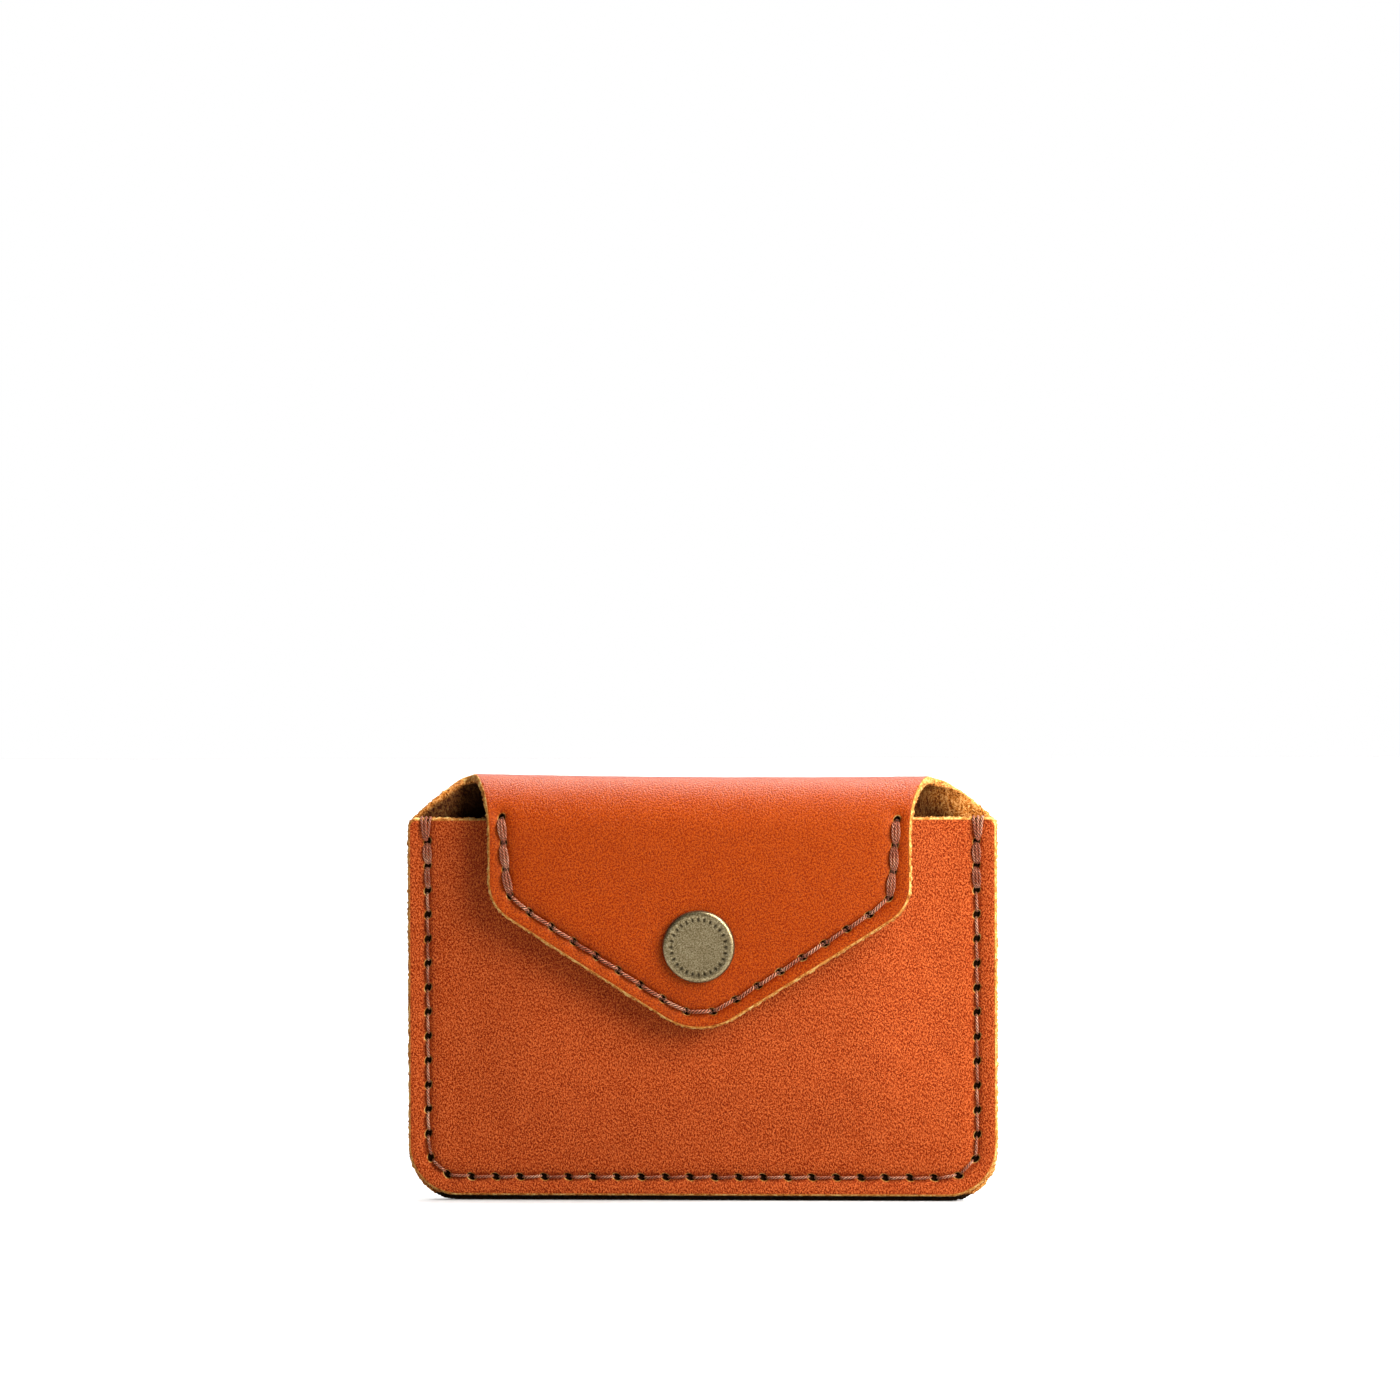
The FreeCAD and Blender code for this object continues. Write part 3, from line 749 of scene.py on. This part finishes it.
class Nodes:
    """Short ways to add and link the nodes of a material or a world."""

    def __init__(self, owner):
        owner.use_nodes = True
        self.owner, self.tree = owner, owner.node_tree

    def put(self, socket, value):
        """Links the socket to another one, or sets its value."""
        if isinstance(value, bpy.types.NodeSocket):
            self.tree.links.new(value, socket)
        elif value is not None:
            socket.default_value = value

    def node(self, kind, inputs, output, **settings):
        """Adds a node with those inputs and settings, and returns one of its outputs."""
        made = self.tree.nodes.new(kind)
        for key, value in settings.items():
            setattr(made, key, value)
        for key, value in inputs.items():
            self.put(made.inputs[key], value)
        return made.outputs[output]

    def place(self):
        """Where a point is in its own object, in metres."""
        return self.node("ShaderNodeTexCoord", {}, "Object")

    def attribute(self, name, output="Fac"):
        return self.node("ShaderNodeAttribute", {}, output, attribute_name=name)

    def stretched(self, vector, scale, turn):
        inputs = {"Vector": vector, "Rotation": (0, 0, turn), "Scale": scale}
        return self.node("ShaderNodeMapping", inputs, "Vector")

    def noise(self, vector, scale, detail=2.0, rough=0.5, distortion=0.0):
        inputs = {"Vector": vector, "Scale": scale, "Detail": detail, "Roughness": rough,
                  "Distortion": distortion}
        return self.node("ShaderNodeTexNoise", inputs, "Fac")

    def range(self, value, low, high, to_low=0.0, to_high=1.0, kind="SMOOTHSTEP"):
        """The value brought from the range low to high into the range to_low to to_high."""
        inputs = {"Value": value, "From Min": low, "From Max": high, "To Min": to_low, "To Max": to_high}
        return self.node("ShaderNodeMapRange", inputs, "Result", interpolation_type=kind)

    def math(self, operation, a, b):
        return self.node("ShaderNodeMath", {0: a, 1: b}, "Value", operation=operation)

    def blended(self, *parts):
        """The sum of values, each multiplied by its weight."""
        total = None
        for value, weight in parts:
            term = self.math("MULTIPLY", value, weight)
            total = term if total is None else self.math("ADD", total, term)
        return total

    def component(self, vector, axis):
        return self.node("ShaderNodeSeparateXYZ", {0: vector}, axis)

    def mix(self, share, a, b):
        return self.node("ShaderNodeMix", {"Factor": share, 6: a, 7: b}, 2, data_type="RGBA")

    def ramp(self, value, places, tones):
        """Three colours, seen as those tones, for the value at those places."""
        made = self.tree.nodes.new("ShaderNodeValToRGB")
        self.put(made.inputs["Fac"], value)
        elements = made.color_ramp.elements
        elements.new(0.5)
        for element, place, tone in zip(elements, places, tones):
            element.position = place
            element.color = seen_as(*tone)
        return made.outputs["Color"]

    def bump(self, height, strength, distance):
        inputs = {"Strength": strength, "Distance": distance, "Height": height}
        return self.node("ShaderNodeBump", inputs, "Normal")

    def finish(self, colour, roughness, normal=None, **constants):
        """Feeds the material's shader, and returns the material."""
        shader = self.tree.nodes["Principled BSDF"].inputs
        self.put(shader["Base Color"], colour)
        self.put(shader["Roughness"], roughness)
        self.put(shader["Normal"], normal)
        for key, value in constants.items():
            shader[key.replace("_", " ")].default_value = value
        return self.owner


def material_nodes(name):
    return Nodes(bpy.data.materials.new(name))


def raw_leather(n):
    """Colour and height of raw cut leather: ochre and fibrous."""
    place = n.place()
    coarse = n.noise(place, 900.0, 4.0, 0.65)
    fine = n.noise(place, 3200.0, 3.0, 0.7)
    tone = n.blended((coarse, 0.55), (fine, 0.45))
    colour = n.ramp(tone, (0.38, 0.50, 0.60), ((134, 58, 12), (236, 152, 64), (270, 232, 142)))
    return colour, tone


def grain_leather(name, tones, spread, streak, roughness, shine, shine_tint):
    """Waxed tan leather: finely speckled, dark where it is pressed, with a raw bevel along its edges and
    painted shade in its needle holes.

    tones are its darkest, middle and lightest colours as they are seen. A small spread gives a strong
    speckle, and streak is how far the speckle is drawn out.
    """
    n = material_nodes(name)
    flat = n.attribute("flat", "Vector")
    drawn = n.stretched(flat, (1.0 + 0.5 * streak, 1.0 - 0.35 * streak, 1.0), math.radians(28))
    clouds = n.noise(flat, 0.28, 3.0, 0.55, 0.5)
    pebble = n.noise(drawn, 3.1, 2.0, 0.6, 0.2)
    speck = n.noise(flat, 5.6, 2.0, 0.65)
    tone = n.blended((pebble, 0.50), (speck, 0.45), (clouds, 0.05))
    colour = n.ramp(tone, (0.50 - spread, 0.50, 0.50 + spread), tones)
    row, hole, rim = (n.attribute(key) for key in ("row", "hole", "rim"))
    pressed = n.range(row, 0.25, 1.1, 0.45, 0.0)
    colour = n.mix(pressed, colour, seen_as(*tones[0]))
    raw, raw_height = raw_leather(n)
    ragged = n.blended((rim, 1.0), (n.math("SUBTRACT", raw_height, 0.5), 0.7))
    bevel = n.range(ragged, 0.42, 0.28, 0.0, 1.0)
    colour = n.mix(bevel, colour, raw)
    torn = n.range(hole, 1.42, 1.2, 0.0, 0.8)
    colour = n.mix(torn, colour, raw)
    # painted shade: near black in the middle of each needle hole
    hole_shade = n.range(hole, 1.2, 1.02, 0.0, 1.0)
    colour = n.mix(hole_shade, colour, HOLE_SHADE_TONE)
    height = n.blended((pebble, 0.65), (speck, 0.35), (n.math("MULTIPLY", bevel, raw_height), 1.5))
    normal = n.bump(height, 0.8, 0.00030)
    rough = n.range(bevel, 0.0, 1.0, roughness, 0.85, "LINEAR")
    return n.finish(colour, rough, normal, Specular_IOR_Level=shine, Specular_Tint=shine_tint)


def cut_leather():
    """The cut edge of the leather, near black along its foot as painted shadow."""
    n = material_nodes("cut_leather")
    colour, tone = raw_leather(n)
    # painted shadow: near black below 0.8 mm, where the edge meets the floor, fading out by 1 mm
    foot_contact_shade = n.range(n.component(n.place(), "Z"), 0.0008, 0.0010, 0.98, 0.0)
    colour = n.mix(foot_contact_shade, colour, seen_as(16, 6, 2))
    return n.finish(colour, 0.85, n.bump(tone, 0.9, 0.0003), Specular_IOR_Level=0.15)


def suede_leather():
    """The fleshy inner side: brown, with golden curled fibres, and painted shade: darker away from its edges
    inside the pocket, darker still at the left end of the fold, near black at the foot.
    """
    n = material_nodes("suede_leather")
    flat = n.attribute("flat", "Vector")
    curls = n.noise(n.stretched(flat, (1.5, 0.8, 1.0), math.radians(38)), 1.3, 4.0, 0.7, 1.8)
    clouds = n.noise(flat, 0.5, 3.0, 0.6)
    fine = n.noise(flat, 5.0, 3.0, 0.7)
    tone = n.blended((curls, 0.62), (clouds, 0.13), (fine, 0.25))
    colour = n.ramp(tone, (0.43, 0.50, 0.57), ((112, 44, 6), (250, 142, 46), (320, 230, 130)))
    up, rim = n.component(flat, "Y"), n.attribute("rim")
    # painted shade: the suede darkens away from its edges, strongly in the pocket below the fold and weakly
    # on the flap
    pocket_shade_reach = n.range(up, cut_lengths[0], cut_lengths[1] + 4.0, 0.85, 0.15)
    inner = n.range(rim, 1.2, 6.5, 0.0, 1.0)
    colour = n.mix(n.math("MULTIPLY", inner, pocket_shade_reach), colour, seen_as(64, 24, 4))
    # painted shade: the left end of the fold's inside, near its edges, darker still
    left = n.range(n.component(flat, "X"), -22.0, -36.0, 0.0, 1.0)
    left_end_shade = n.math("MULTIPLY", left, n.range(rim, 0.1, 1.2, 0.0, 1.0))
    colour = n.mix(n.math("MULTIPLY", left_end_shade, pocket_shade_reach), colour, seen_as(32, 8, 2))
    # painted shade: near black up to 1 mm above the foot, where the floor meets the leather, fading out by
    # 1.6 mm
    foot = n.range(up, 1.0, 1.6, 0.97, 0.0)
    colour = n.mix(foot, colour, seen_as(14, 5, 2))
    normal = n.bump(tone, 1.0, 0.0009)
    return n.finish(colour, 0.9, normal, Specular_IOR_Level=0.05)


def waxed_thread():
    """Waxed brown thread, pinkish where it catches the light."""
    n = material_nodes("waxed_thread")
    place = n.place()
    fibres = n.noise(place, 5200.0, 3.0, 0.7)
    drift = n.noise(place, 260.0, 2.0)
    tone = n.blended((fibres, 0.6), (drift, 0.4))
    colour = n.ramp(tone, (0.40, 0.50, 0.60), ((150, 64, 40), (220, 122, 88), (265, 200, 164)))
    shaded = n.range(n.attribute("groove"), 0.08, 0.42, 0.0, 0.97)
    colour = n.mix(shaded, colour, seen_as(36, 9, 3))
    normal = n.bump(fibres, 0.6, 0.0001)
    return n.finish(colour, 0.5, normal, Specular_IOR_Level=0.25, Specular_Tint=(1.0, 0.7, 0.55, 1.0))


def antique_brass(name, evenness):
    """Brass with a speckled dark finish, dark in its stamped marks. Evenness plays the speckle down."""
    n = material_nodes(name)
    place = n.place()
    stain = n.noise(place, 520.0, 5.0, 0.65, 0.2)
    speck = n.noise(place, 3800.0, 3.0, 0.7)
    tone = n.blended((stain, 0.15), (speck, 0.85))
    colour = n.ramp(tone, (0.38, 0.51, 0.64), ((92, 78, 50), (178, 158, 118), (250, 234, 190)))
    colour = n.mix(evenness, colour, seen_as(164, 146, 108))
    colour = n.mix(n.math("MULTIPLY", n.attribute("stamped"), 0.9), colour, seen_as(44, 36, 22))
    normal = n.bump(tone, 0.5, 0.00008)
    roughness = n.range(tone, 0.3, 0.7, 0.42, 0.28, "LINEAR")
    return n.finish(colour, roughness, normal, Metallic=1.0)


# ---- the object
def seam_row():
    """The pocket's row, open at the mouth. Both panels' flat coordinates run up from the foot."""
    x = half_width - SEAM_INSET
    radius = CORNER_R - SEAM_INSET
    corners = [(-x, SEAM_TOP, 0), (-x, SEAM_FOOT, radius), (x, SEAM_FOOT, radius), (x, SEAM_TOP, 0)]
    return rounded(corners, LINE_STEP, closed=False), SEAM_STITCHES, SEAM_SLANT


def flap_row():
    """The flap's row, in the flat coordinates of the sheet, which run down the flap."""
    slope = (FLAP_CORNER_Z - FLAP_TIP_Z) / flap_half
    x = flap_half - FLAP_INSET
    tip = FLAP_TIP_Z + FLAP_INSET * math.hypot(1, slope)
    corner = tip + slope * x
    corner_r = FLAP_CORNER_R - FLAP_INSET
    corners = [(-x - 0.2, FLAP_TOP, 0), (0.8 - x, corner, corner_r), (0, tip, FLAP_TIP_R - FLAP_INSET),
               (x - 0.8, corner, corner_r), (x + 0.2, FLAP_TOP, 0)]
    corners = [(x, length_at_height(z), r) for x, z, r in corners]
    return rounded(corners, LINE_STEP, closed=False), FLAP_STITCHES, FLAP_SLANT


def leather_sheet(surface, flat, triangles, edge, stitching, facing):
    """The two faces of a leather sheet, with their normals and the attributes that the materials read."""
    depth, row, hole = relief(flat, edge, stitching, GRAIN_ROUND)
    normal = normals_of(surface, flat, facing)
    place = surface(flat)
    gap = np.clip(SUEDE_ROUND - edge, 0, SUEDE_ROUND)
    inner_round = SUEDE_ROUND - np.sqrt(SUEDE_ROUND ** 2 - gap ** 2)
    nap = NAP * waves(flat, 1.1, 9) - 0.03
    inner = np.minimum(LEATHER - inner_round + nap, LEATHER - 0.01)
    inner = np.maximum(inner, depth + 0.05)
    grain = place - normal * depth[:, None]
    suede = place - normal * inner[:, None]
    flat3 = np.concatenate([flat, np.zeros((len(flat), 1))], axis=1)
    turned = triangles[:, ::facing]
    return {"flat": flat, "facing": facing, "surface": surface, "grain": grain, "suede": suede,
            "grain_normals": vertex_normals(grain, turned),
            "suede_normals": vertex_normals(suede, turned[:, ::-1]),
            "attributes": {"flat": flat3, "rim": edge, "row": row, "hole": hole}}


def build_front(materials):
    """The front panel, a little shorter at its foot and taller at its mouth than the CAD's."""
    right_side = [(half_width, FRONT_LIFT, CORNER_R), (half_width, mouth_z + MOUTH_RISE, SHOULDER_R)]
    outline = rounded(mirrored(right_side), OUTLINE_STEP)
    stitching = Stitching(seam_row())
    flat, triangles, edge = flat_mesh(outline, stitching, FRONT_SPACING)
    sheet = leather_sheet(front_surface, flat, triangles, edge, stitching, 1)
    piece = shell("front_leather", triangles, sheet, (), materials)
    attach(piece, "pouch")
    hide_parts("front_panel")


def build_sheet(materials):
    """The rear panel, fold and flap, in three pieces that meet on the two rigid strips of the fold."""
    right_side = [(half_width, 0, CORNER_R),
                  (half_width, mouth_z - SHOULDER_DROP, SHOULDER_R),
                  (TURN_X, TURN_S, TURN_R),
                  (flap_half, SWEEP_S, SWEEP_R),
                  (flap_half, length_at_height(FLAP_CORNER_Z), FLAP_CORNER_R)]
    tip = (0, length_at_height(FLAP_TIP_Z), FLAP_TIP_R)
    outline = rounded(mirrored(right_side, tip), OUTLINE_STEP)
    stitching = Stitching(seam_row(), flap_row())
    flat, triangles, edge = flat_mesh(outline, stitching, SHEET_SPACING, cut_lengths)
    sheet = leather_sheet(sheet_surface, flat, triangles, edge, stitching, -1)
    middle = flat[triangles].mean(axis=1)[:, 1]
    band = (middle > cut_lengths[0]).astype(int) + (middle > cut_lengths[1])
    parts = (("rear_leather", ("back_panel",), ("pouch", "fold_rear_strip")),
             ("fold_leather", ("fold_rear",), ("fold_rear_strip", "fold_front_strip")),
             ("flap_leather", ("fold_front", "flap_panel"), ("fold_front_strip", "flap")))
    for k, ((name, nodes, bodies), (start, end)) in enumerate(zip(parts, bend_ranges())):
        piece = shell(name, triangles[band == k], sheet, cut_lengths, materials)
        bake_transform(piece)
        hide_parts(*nodes)


def bend_ranges():
    """For each bend, a start and an end point: where the leather would start to follow the next body and
    where it would have wholly joined it.
    """
    def on_path(length, inward):
        """A point of the fold's section, that far in from its outer face."""
        heading = np.interp(length, path_s, path_heading)
        y = np.interp(length, path_s, path_y) - inward * math.cos(heading)
        z = np.interp(length, path_s, path_z) - inward * math.sin(heading)
        return np.array([0, y, z])

    def between(direction, first, last):
        """Start and end points on a line with that direction, level with the two given points."""
        direction = np.array(direction) / np.linalg.norm(direction)
        start = first
        end = start + direction * ((last - first) @ direction)
        return tuple(start * MM), tuple(end * MM)

    first_cut, second_cut = (on_path(length, LEATHER) for length in cut_lengths)
    rear = between((0, -0.35, 1.0), np.array([0, seam_y, mouth_z + REAR_BEND_START]), first_cut)
    crown = between((0, -1.0, 0), first_cut, second_cut)
    joined = on_path(bend_middles[2] + SHOULDER_BEND_REACH, LEATHER)
    shoulder = between((0, -0.6, -1.0), second_cut, joined)
    return rear, crown, shoulder


def build_threads(material):
    """The needle and bobbin threads of both rows. The pocket's needle thread also goes over its mouth."""
    seam, flap = Stitching(seam_row()), Stitching(flap_row())
    front, rear, outer, inner = Thread(), Thread(), Thread(), Thread()
    sew(front, front_surface, 1, seam.holes, gap=0.68, drift=0.17, lift=-0.16,
        first_locks=(3, 3, 2), last_locks=(3, 3, 3), skip_ends=1)
    for hole, towards in ((seam.holes[1], -1), (seam.holes[-2], 1)):
        sew_over_edge(front, hole, towards)
    sew(rear, sheet_surface, -1, seam.holes, gap=0.5, drift=-0.12, lift=-0.14,
        first_locks=(3, 2), last_locks=(3, 2))
    sew(outer, sheet_surface, -1, flap.holes, gap=0.60, drift=-0.15, lift=-0.08,
        first_locks=(3, 3, 3), last_locks=(3, 3, 3), scale=1.12)
    sew(inner, flap_inside, 1, flap.holes, gap=0.4, drift=0.1, lift=-0.08,
        first_locks=(2, 2, 2), last_locks=(2, 2, 2))
    finish_thread(front, "seam_thread_front", material, "seam_needle_thread", "pouch")
    finish_thread(rear, "seam_thread_rear", material, "seam_bobbin_thread", "pouch")
    finish_thread(outer, "flap_thread_front", material, "flap_needle_thread", "flap")
    finish_thread(inner, "flap_thread_inside", material, "flap_bobbin_thread", "flap")


def flap_inside(flat):
    """The flap's inner face."""
    return sheet_surface(flat) - normals_of(sheet_surface, flat, -1) * LEATHER


def sew_over_edge(thread, hole, towards):
    """Three strands that fan from a hole over the front panel's top edge, the middle one on top."""
    outward = np.array([0, -1.0, 0])
    x, hole_z = hole[0] + towards * 0.25, hole[1]
    face_y = front_surface(hole[None])[0][1]
    for fan, out in ((-0.75, 0.0), (0.0, 0.1), (0.75, 0.0)):
        points = [(x, face_y + 1.1, hole_z + 0.25),
                  (x + fan * 0.1, face_y + 0.2, hole_z + 0.35),
                  (x + fan * 0.55, face_y - 0.16, hole_z + 1.1),
                  (x + fan * 0.85, face_y - 0.2, mouth_z - 0.7),
                  (x + fan, face_y + 0.15, mouth_z + 0.25),
                  (x + fan, face_y + 0.9, mouth_z + 0.42),
                  (x + fan, seam_y + 0.5, mouth_z + 0.1)]
        thread.add(np.array(points) - [0, out, 0], outward, 0.85)


def finish_thread(thread, name, material, node, body):
    """Makes the row's mesh and puts it on its body, in place of its CAD node."""
    piece = thread.piece(name, material)
    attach(piece, body)
    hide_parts(node)


def stamped_marks(x, z, radius):
    """How deep each point lies in the ring of small dashes, from 0 to 1."""
    ring_r = MARKS_AT * radius
    r, angle = np.hypot(x, z), np.arctan2(z, x)
    offset = (angle * MARKS / (2 * math.pi) + 0.5) % 1 - 0.5
    arc = offset * 2 * math.pi / MARKS * ring_r
    return 1 - smoothstep(0.45, 1.1, np.hypot(arc / MARK_WIDE, (r - ring_r) / MARK_LONG))


def build_cap(material):
    """The snap's cap: a dished disc with a raised, rolled rim and a ring of small stamped dashes."""
    radius = (cap_high[0] - cap_low[0]) / 2
    around, rings = 160, 71
    line, _ = smooth_line([(r * radius, 0, d) for r, d in CAP_PROFILE], rings + 1)
    turn = np.linspace(0, 2 * math.pi, around, endpoint=False)
    verts = [(0.0, line[0][2], 0.0)]
    verts += [(r * math.cos(angle), d, r * math.sin(angle)) for r, _, d in line[1:] for angle in turn]
    verts = np.array(verts)
    stamped = stamped_marks(verts[:, 0], verts[:, 2], radius)
    verts[:, 1] += MARK_DEPTH * stamped
    faces = [(0, 1 + (k + 1) % around, 1 + k) for k in range(around)]
    faces += [tuple(1 + k for k in face) for face in bands(rings, around)]
    faces.append(tuple(1 + (rings - 1) * around + k for k in range(around))[::-1])
    verts += [0, cap_low[1], snap_z]
    faces = [face[::-1] for face in faces]
    piece = make_mesh("snap_cap_disc", verts, faces, [material], attributes={"stamped": stamped})
    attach(piece, "flap")
    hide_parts("snap_cap")


def finish_snap(material):
    """The snap's hidden parts keep their CAD shapes."""
    for node in ("snap_socket", "snap_spring", "snap_stud", "snap_post"):
        piece = frame["nodes"][node]
        piece.data.materials.clear()
        piece.data.materials.append(material)


# ---- stage
def build_stage():
    """A wide, pale floor."""
    side = 6000.0
    verts = [(-side, -side, 0), (side, -side, 0), (side, side, 0), (-side, side, 0)]
    n = material_nodes("pale_floor")
    grey = n.finish((0.45, 0.45, 0.45, 1), 0.8, Specular_IOR_Level=0.1)
    make_mesh("floor", verts, [(0, 1, 2, 3)], [grey])


def add_light(name, kind, place, target, power, colour=(1, 1, 1)):
    data = bpy.data.lights.new(name, kind)
    data.energy = power
    data.color = colour
    light = bpy.data.objects.new(name, data)
    light.location = place
    light.rotation_euler = (Vector(target) - Vector(place)).to_track_quat("-Z", "Y").to_euler()
    bpy.context.scene.collection.objects.link(light)
    return data


def build_lights():
    """Broad lights above and behind, and a near softbox at the right."""
    suns = (("overhead", (0.6, -0.02, 1.0), 7.5, 26), ("behind", (0.15, 0.6, 1.0), 4.8, 40))
    for name, place, power, degrees in suns:
        add_light(name, "SUN", place, (0, 0, 0), power).angle = math.radians(degrees)
    key = add_light("right_key", "AREA", (0.25, -0.22, 0.22), (0, 0, 0.04), 4.7, (1.0, 0.98, 0.95))
    key.size = 0.28


def build_studio():
    """A studio that is white where the camera sees it, and as a light is brightest behind."""
    n = Nodes(bpy.data.worlds.new("studio"))
    direction = n.node("ShaderNodeTexCoord", {}, "Generated")
    towards = {0: direction, 1: (0.7, 1.0, 0.6)}
    behind = n.node("ShaderNodeVectorMath", towards, "Value", operation="DOT_PRODUCT")
    seen = n.node("ShaderNodeLightPath", {}, "Is Camera Ray")
    light = n.range(behind, -0.2, 0.5, 0.05, 1.0)
    background = n.tree.nodes["Background"].inputs
    n.put(background["Color"], (1, 1, 1, 1))
    n.put(background["Strength"], n.node("ShaderNodeMix", {"Factor": seen, "A": light, "B": 1.0}, "Result"))
    bpy.context.scene.world = n.owner


def build_camera():
    """A level camera a little to the right, as high as the middle of its picture."""
    distance, turn, height, roll = 0.8, math.radians(3.4), 0.0867, math.radians(-0.18)
    data = bpy.data.cameras.new("camera")
    data.sensor_width = 36.0
    data.lens = 119.0
    camera = bpy.data.objects.new("camera", data)
    camera.location = (0.00047 + distance * math.sin(turn), -distance * math.cos(turn), height)
    target = Vector((-0.00003, 0, height))
    aim = (target - camera.location).to_track_quat("-Z", "Y")
    camera.rotation_euler = (aim @ Quaternion((0, 0, 1), roll)).to_euler()
    bpy.context.scene.collection.objects.link(camera)
    bpy.context.scene.camera = camera


def main():
    bpy.context.scene.view_settings.view_transform = "Standard"
    build_camera()
    cut, suede = cut_leather(), suede_leather()
    pebbled = grain_leather("pebbled_grain", ((128, 32, 4), (185, 64, 18), (236, 116, 56)), spread=0.052,
                            streak=0.6, roughness=0.55, shine=0.12, shine_tint=(1.0, 0.5, 0.2, 1.0))
    smooth = grain_leather("smooth_grain", ((138, 33, 2), (172, 55, 5), (204, 84, 17)), spread=0.062,
                           streak=0.2, roughness=0.30, shine=0.18, shine_tint=(1.0, 0.52, 0.18, 1.0))
    build_front([pebbled, cut, suede])
    build_sheet([smooth, cut, suede])
    build_threads(waxed_thread())
    build_cap(antique_brass("antique_brass_cap", 0.3))
    finish_snap(antique_brass("antique_brass", 0.2))
    build_stage()
    build_lights()
    build_studio()


main()
